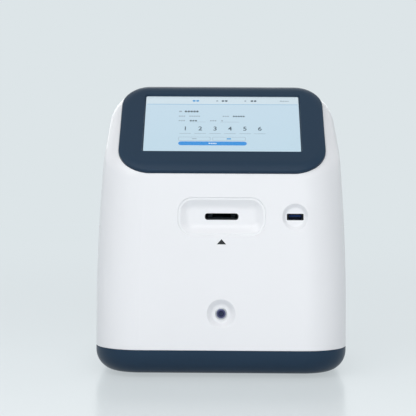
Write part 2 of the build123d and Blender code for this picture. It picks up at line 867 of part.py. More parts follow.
def power_button():
    front = button_front()
    cap = disc(button_radius, front - button_length, front)
    cap = fillet(cap.edges().group_by(Axis.Z)[-1], button_round)
    cap = cap - disc(button_lens_radius + fit_gap, front - button_lens, front + past)
    stem_end = -button_dish_depth - bushing_length - button_stem_length + button_travel + button_gap
    stem = disc(button_stem_radius, stem_end, front - button_length)
    return front_frame(0, button_z) * (cap + stem)


def button_lens_disc():
    front = button_front()
    return front_frame(0, button_z) * disc(button_lens_radius, front - button_lens, front - lens_recess)


def button_switch_body():
    face = -button_dish_depth - bushing_length
    body = plate(switch_width, switch_width, face - switch_length, face, 2)
    body = body - disc(button_stem_radius + run_gap, face - button_stem_length, face + past)
    back = face - switch_length
    for x in (-switch_pin_x, switch_pin_x):
        pin = plate(switch_pin_thickness, switch_pin_width, back - switch_pin_length, back, switch_pin_edge)
        body = body + Pos(x, 0, 0) * pin
    return front_frame(0, button_z) * body


def usb_body_form(extra):
    """The socket's moulded body and its two ears, grown by extra to make their seat."""
    behind = -usb_dish_depth - usb_pad_wall
    reach = 2 * (usb_ear_x + usb_ear_radius + extra)
    ears = plate(reach, usb_ear_height + 2 * extra, behind - usb_ear - extra, behind, usb_body_wall)
    wide = usb_shell_width + 2 * (usb_body_wall + extra)
    tall = usb_shell_height + 2 * (usb_body_wall + extra)
    return ears + plate(wide, tall, behind - usb_body_length - extra, behind, usb_body_corner)


def usb_shell():
    """Folded sheet sleeve, open in front, with the tongue's space inside."""
    front = -usb_dish_depth - usb_recess
    back = front - usb_shell_length
    sleeve = plate(usb_shell_width, usb_shell_height, back, front, usb_shell_corner)
    inner_width = usb_shell_width - 2 * usb_sheet
    inner_height = usb_shell_height - 2 * usb_sheet
    bore = plate(inner_width, inner_height, back + usb_back, front + past, usb_shell_corner - usb_sheet)
    return front_frame(usb_x, slot_z) * (sleeve - bore)


def usb_tongue():
    root = -usb_dish_depth - usb_recess - usb_shell_length + usb_back
    middle = usb_shell_height / 2 - usb_sheet - usb_tongue_gap - usb_tongue_height / 2
    tongue = plate(usb_tongue_width, usb_tongue_height, root, root + usb_tongue_length, usb_sheet)
    return front_frame(usb_x, slot_z) * (Pos(0, middle, 0) * tongue)


def usb_socket_body():
    behind = -usb_dish_depth - usb_pad_wall
    front = -usb_dish_depth - usb_recess
    sleeve = plate(usb_shell_width + 2 * fit_gap, usb_shell_height + 2 * fit_gap, front - usb_shell_length, 0,
                   usb_shell_corner)
    body = usb_body_form(0) - sleeve
    for x in (-usb_ear_x, usb_ear_x):
        body = body - Pos(x, 0, 0) * disc(m25 + bore_gap, behind - usb_ear - past, behind + past)
    return front_frame(usb_x, slot_z) * body


def usb_screws():
    length = usb_ear + usb_pad_wall + usb_dish_depth - 2 * skin
    one = Rot(180, 0, 0) * screw(m25, m25_head, m25_head_height, length)
    seat = -usb_dish_depth - usb_pad_wall - usb_ear
    return [front_frame(usb_x, slot_z) * (Pos(x, 0, seat) * one) for x in (-usb_ear_x, usb_ear_x)]


# ---------------------------------------------------------------- chassis and stage
def chassis_screw_places():
    return all_four(chassis_x - chassis_screw_inset, chassis_y - chassis_screw_inset)


def chassis_plate():
    low = chassis_top - chassis_sheet
    sheet = plate(2 * chassis_x, 2 * chassis_y, low, chassis_top, chassis_corner)
    for x, y in chassis_screw_places():
        sheet = sheet - post(x, y, m3 + bore_gap, low - past, chassis_top + past)
    vent = extrude(SlotOverall(vent_length, 2 * vent_slot), 3 * chassis_sheet)
    for i in range(chassis_vents):
        y = optic_y - chassis_vent_y + (i - (chassis_vents - 1) / 2) * chassis_vent_pitch
        sheet = sheet - Pos(0, y, low - chassis_sheet) * vent
    return sheet


def chassis_screws():
    one = screw(m3, m3_head, m3_head_height, chassis_sheet + chassis_lift - past)
    return [Pos(x, y, chassis_top) * one for x, y in chassis_screw_places()]


def optics_side_plate(side):
    """Upright plate under the deck, with windows and a foot along its lower edge."""
    front = deck_front + side_plate_setback
    rear = front + side_plate_length
    near = side_plate_x
    far = side_plate_x + side_plate
    upright = block(near, far, front, rear, chassis_top, deck_low)
    foot_top = chassis_top + side_flange_thickness
    foot = block(near, far + side_plate_flange, front, rear, chassis_top, foot_top)
    piece = upright + foot
    low = chassis_top + side_plate_bar
    high = deck_low - side_plate_bar
    span = (side_plate_length - (side_plate_windows + 1) * side_plate_bar) / side_plate_windows
    for i in range(side_plate_windows):
        middle = front + side_plate_bar + span / 2 + i * (span + side_plate_bar)
        window = Plane.YZ * RectangleRounded(span, high - low, side_window_corner)
        piece = piece - Pos(near - past, middle, (low + high) / 2) * extrude(window, side_plate + 2 * past)
    return piece if side > 0 else mirror(piece, Plane.YZ)


def stage_deck():
    deck = block(-deck_half_width, deck_half_width, deck_front, deck_rear, deck_low, deck_top)
    deck = fillet(deck.edges().filter_by(Axis.Z), deck_corner)
    deck = deck - post(optic_x, optic_y, deck_aperture, deck_low - past, deck_top + past)
    for x in (-focus_rod_x, focus_rod_x):
        deck = deck - post(x, focus_y, focus_rod_radius + thread_gap, deck_low - past, deck_low + rod_socket)
    return deck


def support_places():
    front = deck_front + support_setback
    rear = deck_rear - support_length - support_setback / 2
    return [(x, y) for x in (-stage_rod_x, stage_rod_x) for y in (front, rear)]


def rod_supports():
    """Four split blocks for the rods and one for the front end of the screw."""
    blocks = []
    top = deck_top + support_height
    for x, y in support_places():
        start = y - past
        end = y + support_length + past
        one = block(x - support_width / 2, x + support_width / 2, y, y + support_length, deck_top, top)
        one = one - bar(x, stage_axis_z, stage_rod_radius + thread_gap, start, end)
        one = one - block(x - support_slit / 2, x + support_slit / 2, start, end, stage_axis_z, top + past)
        blocks.append(one)
    front = deck_front + support_setback
    rear = front + support_length
    half = screw_support_width / 2
    last = block(stage_screw_x - half, stage_screw_x + half, front, rear, deck_top, top)
    blocks.append(last - bar(stage_screw_x, stage_axis_z, screw_radius + run_gap, front - past, rear + past))
    return blocks


def stage_rods():
    start = deck_front + support_setback + past
    end = deck_rear - support_setback
    return [bar(x, stage_axis_z, stage_rod_radius, start, end) for x in (-stage_rod_x, stage_rod_x)]


def slide_carriage():
    """Plate on two bushed bores, with an open channel and a window for the slide."""
    half = carriage_half_width
    body = block(-half, half, carriage_front, carriage_rear, carriage_low, carriage_top)
    body = fillet(body.edges().filter_by(Axis.Z), carriage_corner)
    start = carriage_front - past
    end = carriage_rear + past
    floor = slot_z - channel_floor_drop
    channel_end = carriage_front + channel_length
    body = body - block(-channel_width / 2, channel_width / 2, start, channel_end, floor, carriage_top + past)
    window = block(-channel_window / 2, channel_window / 2, carriage_front + window_end,
                   channel_end - window_end, carriage_low - past, floor + past)
    body = body - window
    for x in (-stage_rod_x, stage_rod_x):
        body = body - bar(x, stage_axis_z, stage_rod_radius + rod_relief, start, end)
        body = body - bar(x, stage_axis_z, bush_radius + thread_gap, start, carriage_front + bush_length)
        body = body - bar(x, stage_axis_z, bush_radius + thread_gap, carriage_rear - bush_length, end)
    body = body - bar(stage_screw_x, stage_axis_z, screw_radius + screw_relief, start, end)
    flag_y = carriage_front + flag_start
    flag_z = stage_axis_z - flag_drop
    flag = block(-half - flag_reach, -half + past, flag_y, flag_y + flag_length,
                 flag_z - flag_thickness / 2, flag_z + flag_thickness / 2)
    return body + flag


def carriage_bushes():
    bushes = []
    for x in (-stage_rod_x, stage_rod_x):
        for y in (carriage_front, carriage_rear - bush_length):
            end = y + bush_length
            bush = bar(x, stage_axis_z, bush_radius, y, end)
            bushes.append(bush - bar(x, stage_axis_z, stage_rod_radius + run_gap, y - past, end + past))
    return bushes


def carriage_nut():
    rear = carriage_rear + stage_nut
    nut = bar(stage_screw_x, stage_axis_z, nut_radius, carriage_rear, rear)
    return nut - bar(stage_screw_x, stage_axis_z, screw_radius + run_gap, carriage_rear - past, rear + past)


def stage_screw():
    start = deck_front + support_setback + past
    return bar(stage_screw_x, stage_axis_z, screw_radius, start, deck_rear + motor_plate + shaft_reach)


def motor(bore):
    """A small stepper motor standing on z=0, with its bore in the lower face."""
    core = motor_size - 2 * motor_groove
    body = plate(motor_size, motor_size, 0, motor_cap, motor_corner)
    body = body + plate(motor_size, motor_size, motor_length - motor_cap, motor_length, motor_corner)
    body = body + plate(core, core, 0, motor_length, motor_corner - motor_groove)
    return body - disc(bore, -past, motor_bore_depth)


def stage_motor():
    start = deck_rear + motor_plate
    return Pos(stage_screw_x, start, stage_axis_z) * Rot(-90, 0, 0) * motor(screw_radius + run_gap)


def stage_motor_bracket():
    half = motor_size / 2 + motor_plate_margin
    end = deck_rear + motor_plate
    sheet = block(stage_screw_x - half, stage_screw_x + half, deck_rear, end, deck_low, stage_axis_z + half)
    return sheet - bar(stage_screw_x, stage_axis_z, screw_radius + screw_relief, deck_rear - past, end + past)


def home_sensor():
    """Fork that the carriage's flag enters at home."""
    middle = carriage_front + flag_start + flag_length / 2
    start = middle - sensor_length / 2
    end = middle + sensor_length / 2
    inner = -carriage_half_width - flag_reach / 2
    outer = -carriage_half_width - flag_reach - sensor_wall - flag_thickness / 2
    slot_middle = stage_axis_z - flag_drop
    top = slot_middle + sensor_slot / 2 + flag_thickness
    fork = block(outer, inner, start, end, deck_top, top)
    return fork - block(outer + sensor_wall, inner + past, start - past, end + past,
                        slot_middle - sensor_slot / 2, slot_middle + sensor_slot / 2)


# ---------------------------------------------------------------- focus drive and optics
def focus_rods():
    top = deck_low + rod_socket
    return [post(x, focus_y, focus_rod_radius, chassis_top, top) for x in (-focus_rod_x, focus_rod_x)]


def focus_carriage():
    low = focus_carriage_low
    top = focus_carriage_top
    half = focus_carriage_half
    front = focus_y - focus_carriage_depth / 2
    body = block(-half, half, front, front + focus_carriage_depth, low, top)
    body = fillet(body.edges().filter_by(Axis.Z), carriage_corner)
    clamp_low = (low + top - focus_clamp_height) / 2
    clamp_top = clamp_low + focus_clamp_height
    neck = focus_clamp_neck / 2
    slit = focus_clamp_slit / 2
    body = body + post(optic_x, optic_y, tube_radius + focus_clamp_wall, clamp_low, clamp_top)
    body = body + block(optic_x - neck, optic_x + neck, optic_y, front + past, clamp_low, clamp_top)
    body = body - post(optic_x, optic_y, tube_radius + thread_gap, clamp_low - past, clamp_top + past)
    slit_front = optic_y - tube_radius - focus_clamp_wall - past
    body = body - block(optic_x - slit, optic_x + slit, slit_front, optic_y,
                        clamp_low - past, clamp_top + past)
    for x in (-focus_rod_x, focus_rod_x):
        body = body - post(x, focus_y, focus_rod_radius + run_gap, low - past, top + past)
    return body - post(optic_x, focus_y, screw_radius + screw_relief, low - past, top + past)


def focus_nut_disc():
    low = focus_carriage_low - focus_nut
    nut = post(optic_x, focus_y, nut_radius, low, focus_carriage_low)
    return nut - post(optic_x, focus_y, screw_radius + run_gap, low - past, focus_carriage_low + past)


def focus_screw():
    return post(optic_x, focus_y, screw_radius, focus_motor_top - shaft_reach, deck_low - focus_screw_gap)


def focus_motor():
    return Pos(optic_x, focus_y, focus_motor_top) * Rot(180, 0, 0) * motor(screw_radius + run_gap)


def lens_tube():
    tube = post(optic_x, optic_y, tube_radius, tube_low, objective_low)
    tube = tube + post(optic_x, optic_y, tube_flange_radius, tube_low, tube_low + tube_flange)
    return tube - post(optic_x, optic_y, tube_bore, tube_low - past, objective_low + past)


def objective_barrel():
    end = objective_length + past
    barrel = disc(objective_radius, 0, objective_length)
    barrel = fillet(barrel.edges().group_by(Axis.Z)[-1], objective_nose)
    barrel = barrel + disc(tube_bore - thread_gap, -objective_thread, 0)
    for z in grip_grooves:
        ring = disc(objective_radius + past, z, z + grip_width)
        barrel = barrel - (ring - disc(objective_radius - grip_depth, z, z + grip_width))
    barrel = barrel - disc(objective_bore, -objective_thread - past, end)
    barrel = barrel - disc(objective_lens_radius, objective_length - objective_lens_seat, end)
    return Pos(optic_x, optic_y, objective_low) * barrel


def objective_lens():
    seat = objective_top - objective_lens_seat
    lens = post(optic_x, optic_y, objective_lens_radius - thread_gap, seat, seat + objective_lens_height)
    return fillet(lens.edges().group_by(Axis.Z)[-1], objective_lens_height * 0.4)


def camera_board():
    half = camera_size / 2
    board = block(-half, half, optic_y - half, optic_y + half, tube_low - board_sheet, tube_low)
    return fillet(board.edges().filter_by(Axis.Z), board_corner)


def camera_sensor():
    half = sensor_size / 2
    return block(-half, half, optic_y - half, optic_y + half, tube_low, tube_low + sensor_height)


def illuminator_arm():
    low = carriage_top + condenser_gap + arm_lift
    top = low + arm_thickness
    near = carriage_half_width + arm_gap
    far = near + arm_post
    front = optic_y - arm_width / 2
    rear = optic_y + arm_width / 2
    arm = block(near, far, front, rear, deck_top, top) + block(optic_x, far, front, rear, low, top)
    arm = arm + post(optic_x, optic_y, condenser_radius + arm_ring, low, top)
    arm = fillet(arm.edges().filter_by(Axis.Y).group_by(Axis.Z)[-1].sort_by(Axis.X)[-1], arm_corner)
    return arm - post(optic_x, optic_y, condenser_radius + thread_gap, low - past, top + past)


def condenser_low():
    return carriage_top + condenser_gap


def condenser_barrel():
    low = condenser_low()
    seat = low + condenser_lens_seat
    top = low + condenser_length
    barrel = post(optic_x, optic_y, condenser_radius, low, top)
    barrel = barrel - post(optic_x, optic_y, condenser_radius - condenser_wall, seat, top + past)
    return barrel - post(optic_x, optic_y, condenser_mouth, low - past, seat + past)


def condenser_lens():
    low = condenser_low() + condenser_lens_seat
    radius = condenser_radius - condenser_wall - thread_gap
    lens = post(optic_x, optic_y, radius, low, low + condenser_lens_height)
    return fillet(lens.edges().group_by(Axis.Z)[-1], condenser_lens_height * 0.6)


def led_board():
    low = condenser_low() + condenser_length
    half = led_size / 2
    board = post(optic_x, optic_y, condenser_radius, low, low + board_sheet)
    return board + block(optic_x - half, optic_x + half, optic_y - half, optic_y + half,
                         low - led_height, low)


# ---------------------------------------------------------------- electronics
def board_screw_places():
    x = board_half_width - board_screw_inset
    front = board_front + board_screw_inset
    rear = board_front + board_depth - board_screw_inset
    return [(i * x, y) for i in (-1, 1) for y in (front, rear)]


def mainboard():
    """Board with its main chips and connector blocks."""
    top = board_z + board_sheet
    rear = board_front + board_depth
    board = block(-board_half_width, board_half_width, board_front, rear, board_z, top)
    board = fillet(board.edges().filter_by(Axis.Z), board_corner)
    middle = board_front + board_depth / 2
    reach = sink_depth / 2 - processor_margin
    board = board + block(sink_x - processor_half, sink_x + processor_half, middle - reach, middle + reach,
                          top, top + chip_height)
    for i in range(chips):
        x = chip_inset - board_half_width + chip_pitch * i
        board = board + block(x, x + chip_width, middle - chip_depth / 2, middle + chip_depth / 2,
                              top, top + low_chip_height)
    connector_start = board_front + connector_margin
    for i in range(connectors):
        x = connector_inset - board_half_width + connector_pitch * i
        board = board + block(x, x + connector_width, connector_start, connector_start + connector_depth,
                              top, top + connector_height)
    for x, y in board_screw_places():
        board = board - post(x, y, m3 + bore_gap, board_z - past, top + past)
    return board


def board_standoffs():
    posts = []
    for x, y in board_screw_places():
        one = Pos(x, y, 0) * hexagon(standoff_flats, chassis_top, board_z)
        posts.append(one - post(x, y, m3 + thread_gap, chassis_top + past, board_z + past))
    return posts


def board_screws():
    one = screw(m3, m3_head, m3_head_height, board_sheet + board_lift - 2 * past)
    return [Pos(x, y, board_z + board_sheet) * one for x, y in board_screw_places()]


def heat_sink():
    low = board_z + board_sheet + chip_height
    front = board_front + (board_depth - sink_depth) / 2
    rear = front + sink_depth
    left = sink_x - sink_width / 2
    sink = block(left, left + sink_width, front, rear, low, low + sink_base)
    pitch = (sink_width - sink_fin) / (sink_fins - 1)
    for i in range(sink_fins):
        x = left + i * pitch
        sink = sink + block(x, x + sink_fin, front, rear, low, low + sink_height)
    return sink


# ---------------------------------------------------------------- rear panel, fan, inlet
def fan_frame_plane():
    return back_frame(fan_x, rear_z)


def rear_panel():
    panel = plate(rear_width, rear_height, -rear_sheet, 0, rear_corner)
    panel = chamfer(panel.edges().group_by(Axis.Z)[-1], rear_edge)
    low = -rear_sheet - past
    for i in range(grille_slots):
        v = (i - (grille_slots - 1) / 2) * grille_pitch
        length = 2 * sqrt(grille_radius ** 2 - v ** 2)
        panel = panel - Pos(fan_x, v, low) * extrude(SlotOverall(length, grille_slot), rear_sheet + 2 * past)
    half = fan_screw_pitch / 2
    for x, v in all_four(half, half):
        panel = panel - Pos(fan_x + x, v, 0) * disc(m3 + bore_gap, low, past)
    for x, v in all_four(rear_width / 2 - rear_screw_inset, rear_height / 2 - rear_screw_inset):
        panel = panel - Pos(x, v, 0) * disc(m3 + bore_gap, low, past)
    panel = panel - Pos(inlet_x, -inlet_drop, 0) * disc(inlet_radius + fit_gap, low, past)
    return back_frame(0, rear_z) * panel


def rear_panel_screws():
    one = screw(m3, m3_head, m3_head_height, wall + rear_boss_length - past)
    places = all_four(rear_width / 2 - rear_screw_inset, rear_height / 2 - rear_screw_inset)
    return [back_frame(0, rear_z) * (Pos(x, v, 0) * one) for x, v in places]


def fan_axis_span():
    """Front and back of the fan in the rear frame's z."""
    return (-rear_sheet - fan_depth, -rear_sheet)


def fan_frame():
    inner, outer = fan_axis_span()
    frame = plate(fan_size, fan_size, inner, outer, fan_corner)
    frame = frame - disc(fan_bore, inner - past, outer + past)
    plate_top = inner + fan_plate
    strut = block(0, fan_bore + past, -fan_strut / 2, fan_strut / 2, inner, plate_top)
    for i in range(fan_struts):
        frame = frame + Rot(0, 0, 90 + 360 * i / fan_struts) * strut
    frame = frame + disc(fan_hub_radius, inner, plate_top)
    frame = frame - disc(fan_shaft_radius + run_gap, inner - past, plate_top + past)
    half = fan_screw_pitch / 2
    for x, v in all_four(half, half):
        frame = frame - Pos(x, v, 0) * disc(m3 + thread_gap, inner - past, outer + past)
    return fan_frame_plane() * frame


def fan_rotor():
    """Hub, blades and shaft; the blades clear the frame's bore by the tip gap."""
    inner, outer = fan_axis_span()
    hub_low = inner + fan_plate + fan_axial_gap
    hub_top = hub_low + fan_hub_length
    middle = (hub_low + hub_top) / 2
    tip = fan_bore - fan_tip_gap
    reach = tip + past
    vane = Pos(reach / 2, 0, 0) * Box(reach, fan_blade, fan_hub_length * 1.15)
    vane = Pos(0, 0, middle) * Rot(fan_blade_pitch, 0, 0) * vane
    rotor = disc(fan_hub_radius, hub_low, hub_top)
    for i in range(fan_blades):
        blade = (Rot(0, 0, i * 360 / fan_blades) * vane) & disc(tip, hub_low, hub_top)
        rotor = rotor + blade
    rotor = rotor + disc(fan_shaft_radius, inner + fan_shaft_gap, hub_low + past)
    return fan_frame_plane() * rotor


def fan_screws():
    one = screw(m3, m3_head, m3_head_height, fan_screw_length)
    half = fan_screw_pitch / 2
    return [back_frame(0, rear_z) * (Pos(fan_x + x, v, 0) * one) for x, v in all_four(half, half)]


def dc_inlet_body():
    barrel = disc(inlet_radius, -inlet_length, 0)
    flange = disc(inlet_flange_radius, 0, inlet_flange)
    flange = fillet(flange.edges().group_by(Axis.Z)[-1], inlet_edge)
    bore = disc(inlet_bore, inlet_flange - inlet_bore_depth, inlet_flange + past)
    return back_frame(0, rear_z) * (Pos(inlet_x, -inlet_drop, 0) * (barrel + flange - bore))


def dc_inlet_pin():
    floor = inlet_flange - inlet_bore_depth
    pin = disc(inlet_pin_radius, floor, -inlet_pin_drop)
    pin = fillet(pin.edges().group_by(Axis.Z)[-1], inlet_edge)
    return back_frame(0, rear_z) * (Pos(inlet_x, -inlet_drop, 0) * pin)


def dc_inlet_nut():
    low = -rear_sheet - inlet_nut
    nut = hexagon(2 * inlet_nut_radius, low, -rear_sheet)
    nut = nut - disc(inlet_radius + thread_gap, low - past, 0)
    return back_frame(0, rear_z) * (Pos(inlet_x, -inlet_drop, 0) * nut)


# ---------------------------------------------------------------- build
pieces = {
    "upper_housing": upper_housing,
    "base_tub": base_tub,
    "rubber_feet": rubber_feet,
    "base_screws": base_screws,
    "screen_bezel": screen_bezel,
    "cover_glass": cover_glass,
    "display_panel": display_panel,
    "display_bracket": display_bracket,
    "display_screws": display_screws,
    "slide_guide": slide_guide,
    "guide_screws": guide_screws,
    "button_bushing": button_bushing,
    "button_nut": button_nut,
    "power_button": power_button,
    "button_lens": button_lens_disc,
    "button_switch_body": button_switch_body,
    "usb_shell": usb_shell,
    "usb_tongue": usb_tongue,
    "usb_socket_body": usb_socket_body,
    "usb_screws": usb_screws,
    "chassis_plate": chassis_plate,
    "chassis_screws": chassis_screws,
    "optics_side_plate_left": lambda: optics_side_plate(-1),
    "optics_side_plate_right": lambda: optics_side_plate(1),
    "stage_deck": stage_deck,
    "rod_supports": rod_supports,
    "stage_rods": stage_rods,
    "slide_carriage": slide_carriage,
    "carriage_bushes": carriage_bushes,
    "carriage_nut": carriage_nut,
    "stage_screw": stage_screw,
    "stage_motor": stage_motor,
    "stage_motor_bracket": stage_motor_bracket,
    "home_sensor": home_sensor,
    "focus_rods": focus_rods,
    "focus_carriage": focus_carriage,
    "focus_nut": focus_nut_disc,
    "focus_screw": focus_screw,
    "focus_motor": focus_motor,
    "lens_tube": lens_tube,
    "objective_barrel": objective_barrel,
    "objective_lens": objective_lens,
    "camera_board": camera_board,
    "camera_sensor": camera_sensor,
    "illuminator_arm": illuminator_arm,
    "condenser_barrel": condenser_barrel,
    "condenser_lens": condenser_lens,
    "led_board": led_board,
    "mainboard": mainboard,
    "board_standoffs": board_standoffs,
    "board_screws": board_screws,
    "heat_sink": heat_sink,
    "rear_panel": rear_panel,
    "rear_panel_screws": rear_panel_screws,
    "fan_frame": fan_frame,
    "fan_rotor": fan_rotor,
    "fan_screws": fan_screws,
    "dc_inlet_body": dc_inlet_body,
    "dc_inlet_pin": dc_inlet_pin,
    "dc_inlet_nut": dc_inlet_nut,
}

os.makedirs("parts", exist_ok=True)
for name, make in pieces.items():
    shape = make()
    if isinstance(shape, list):
        shape = Compound(children=shape)
    export_step(shape, f"parts/{name}.step")
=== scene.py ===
import json
from math import cos, pi, radians, sin, tan

import bmesh
import bpy
from mathutils import Matrix, Vector


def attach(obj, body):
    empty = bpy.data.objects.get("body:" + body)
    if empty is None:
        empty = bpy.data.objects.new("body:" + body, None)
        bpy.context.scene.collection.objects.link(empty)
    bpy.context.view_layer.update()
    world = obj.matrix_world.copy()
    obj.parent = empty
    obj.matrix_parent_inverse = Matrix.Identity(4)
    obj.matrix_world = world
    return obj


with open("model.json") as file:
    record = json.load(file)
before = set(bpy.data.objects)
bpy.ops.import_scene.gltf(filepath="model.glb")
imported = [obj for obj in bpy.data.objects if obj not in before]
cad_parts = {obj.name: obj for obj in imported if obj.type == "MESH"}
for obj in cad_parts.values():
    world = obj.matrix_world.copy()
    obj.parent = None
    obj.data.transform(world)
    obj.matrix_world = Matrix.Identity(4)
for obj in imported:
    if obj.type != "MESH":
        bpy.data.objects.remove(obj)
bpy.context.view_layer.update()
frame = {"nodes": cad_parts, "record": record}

mm = 0.001

# ------------------------------------------------------------ places, in millimetres of the row frame
seam_z = 26.7
front_seam_y = -113.0
front_lean = radians(3.5)
screen_slope = radians(40.0)
screen_y = -52.8
screen_z = 239.5
panel_top = -1.8            # below the face of the glass
button_z = 61.2
button_dish_depth = 4.5
button_ring = 1.4           # the ring's flange stands on the dish's floor
button_proud = 1.1          # the cap's front in front of the ring

# ------------------------------------------------------------ camera
camera_y = -1491.7
camera_z = 223.0
sensor_width = 36.0
focal_length = 128.25
camera_pitch = radians(2.6)
camera_yaw = radians(0.53)
camera_roll = radians(0.3)


def add_camera():
    data = bpy.data.cameras.new("camera")
    data.lens = focal_length
    data.sensor_width = sensor_width
    camera = bpy.data.objects.new("camera", data)
    bpy.context.scene.collection.objects.link(camera)
    turn = Matrix.Rotation(camera_yaw, 4, "Z") @ Matrix.Rotation(pi / 2 - camera_pitch, 4, "X")
    turn = turn @ Matrix.Rotation(camera_roll, 4, "Z")
    camera.matrix_world = Matrix.Translation((0, camera_y * mm, camera_z * mm)) @ turn
    bpy.context.scene.camera = camera


# ------------------------------------------------------------ materials
def srgb(red, green, blue):
    """A colour given as 0..255 screen values, in linear light."""
    out = []
    for value in (red, green, blue):
        value = value / 255.0
        out.append(value / 12.92 if value <= 0.04045 else ((value + 0.055) / 1.055) ** 2.4)
    return (*out, 1.0)


def shaded(colour, share):
    return (colour[0] * share, colour[1] * share, colour[2] * share, 1.0)


noise_low = 0.3             # most of a noise texture's values lie between these two
noise_high = 0.7


class Finish:
    """A material whose colour, roughness and bump come from noise in object space."""

    def __init__(self, name, **shader):
        self.material = bpy.data.materials.new(name)
        self.material.use_nodes = True
        self.nodes = self.material.node_tree.nodes
        self.links = self.material.node_tree.links
        self.shader = self.nodes["Principled BSDF"]
        self.coordinates = self.nodes.new("ShaderNodeTexCoord")
        for socket, value in shader.items():
            self.shader.inputs[socket.replace("_", " ")].default_value = value

    def noise(self, scale, detail=4.0, stretch=(1, 1, 1)):
        mapping = self.nodes.new("ShaderNodeMapping")
        mapping.inputs["Scale"].default_value = stretch
        self.links.new(self.coordinates.outputs["Object"], mapping.inputs["Vector"])
        noise = self.nodes.new("ShaderNodeTexNoise")
        noise.inputs["Scale"].default_value = scale
        noise.inputs["Detail"].default_value = detail
        self.links.new(mapping.outputs["Vector"], noise.inputs["Vector"])
        return noise.outputs["Fac"]

    def spread(self, value, low, high):
        ramp = self.nodes.new("ShaderNodeMapRange")
        ramp.inputs["To Min"].default_value = low
        ramp.inputs["To Max"].default_value = high
        ramp.inputs["From Min"].default_value = noise_low
        ramp.inputs["From Max"].default_value = noise_high
        self.links.new(value, ramp.inputs["Value"])
        return ramp.outputs["Result"]

    def colour(self, value, first, second, socket="Base Color"):
        mix = self.nodes.new("ShaderNodeMix")
        mix.data_type = "RGBA"
        mix.inputs["A"].default_value = first
        mix.inputs["B"].default_value = second
        self.links.new(value, mix.inputs["Factor"])
        self.links.new(mix.outputs["Result"], self.shader.inputs[socket])

    def roughness(self, value, low, high):
        self.links.new(self.spread(value, low, high), self.shader.inputs["Roughness"])

    def bump(self, value, depth, strength=0.3):
        bump = self.nodes.new("ShaderNodeBump")
        bump.inputs["Strength"].default_value = strength
        bump.inputs["Distance"].default_value = depth
        self.links.new(value, bump.inputs["Height"])
        self.links.new(bump.outputs["Normal"], self.shader.inputs["Normal"])


def moulded(name, colour, rough, variation, grain=900.0, grain_depth=0.00003, coat=0.0, mirror=0.5):
    """Injection-moulded plastic: a faint flow variation and a fine grain."""
    finish = Finish(name, IOR=1.5, Coat_Weight=coat, Coat_Roughness=0.12, Specular_IOR_Level=mirror)
    flow = finish.noise(scale=9.0, detail=2.0)
    finish.colour(finish.spread(flow, 0, 1), shaded(colour, 1 - variation), colour)
    finish.roughness(finish.noise(scale=60.0), low=rough * 0.9, high=rough * 1.12)
    finish.bump(finish.noise(grain, detail=2.0), depth=grain_depth)
    return finish.material


def metal(name, colour, rough, brushed=(1, 1, 1), scale=400.0, anisotropy=0.0):
    """Bare or plated metal, brushed along the axis whose stretch is small."""
    finish = Finish(name, Metallic=1.0, Anisotropic=anisotropy)
    lines = finish.noise(scale, detail=3.0, stretch=brushed)
    finish.colour(finish.spread(lines, 0, 1), shaded(colour, 0.88), colour)
    finish.roughness(lines, low=rough * 0.8, high=rough * 1.25)
    finish.bump(lines, depth=0.00002, strength=0.25)
    return finish.material


def glass(name, tint, rough=0.01, ior=1.46, mirror=0.5):
    """Clear glass; a mirror level under the usual 0.5 weakens its reflections."""
    finish = Finish(name, Transmission_Weight=1.0, IOR=ior, Specular_IOR_Level=mirror)
    finish.colour(finish.noise(scale=5.0, detail=1.0), tint, shaded(tint, 0.985))
    finish.roughness(finish.noise(scale=40.0), low=rough, high=rough * 2.5)
    return finish.material


lit_mirror = 0.05           # mirror level of lit surfaces, set low so that they keep their colour
lit_rough = 0.35
lit_base = 0.02             # share of the light's colour in the surface below it


def lit(name, colour, strength=1.0):
    """A lit area of the screen: its light is the colour, with faint uneven backlight."""
    finish = Finish(name, Roughness=lit_rough, Specular_IOR_Level=lit_mirror, Emission_Strength=strength)
    uneven = finish.spread(finish.noise(scale=14.0, detail=2.0), 0, 1)
    finish.colour(uneven, shaded(colour, 0.96), colour, socket="Emission Color")
    finish.shader.inputs["Base Color"].default_value = shaded(colour, lit_base)
    return finish.material


wash_half = 27.0            # half the height over which the picture's colour changes


def screen_material(name, low_colour, high_colour):
    """The panel's picture area: a soft vertical wash of light."""
    finish = Finish(name, Roughness=lit_rough, Specular_IOR_Level=lit_mirror, Emission_Strength=1.0)
    split = finish.nodes.new("ShaderNodeSeparateXYZ")
    finish.links.new(finish.coordinates.outputs["Object"], split.inputs["Vector"])
    ramp = finish.nodes.new("ShaderNodeMapRange")
    ramp.inputs["From Min"].default_value = (screen_z - wash_half) * mm
    ramp.inputs["From Max"].default_value = (screen_z + wash_half) * mm
    finish.links.new(split.outputs["Z"], ramp.inputs["Value"])
    finish.colour(ramp.outputs["Result"], low_colour, high_colour, socket="Emission Color")
    finish.shader.inputs["Base Color"].default_value = shaded(low_colour, lit_base)
    return finish.material


case_white = srgb(240, 241, 244)
navy = srgb(38, 58, 78)


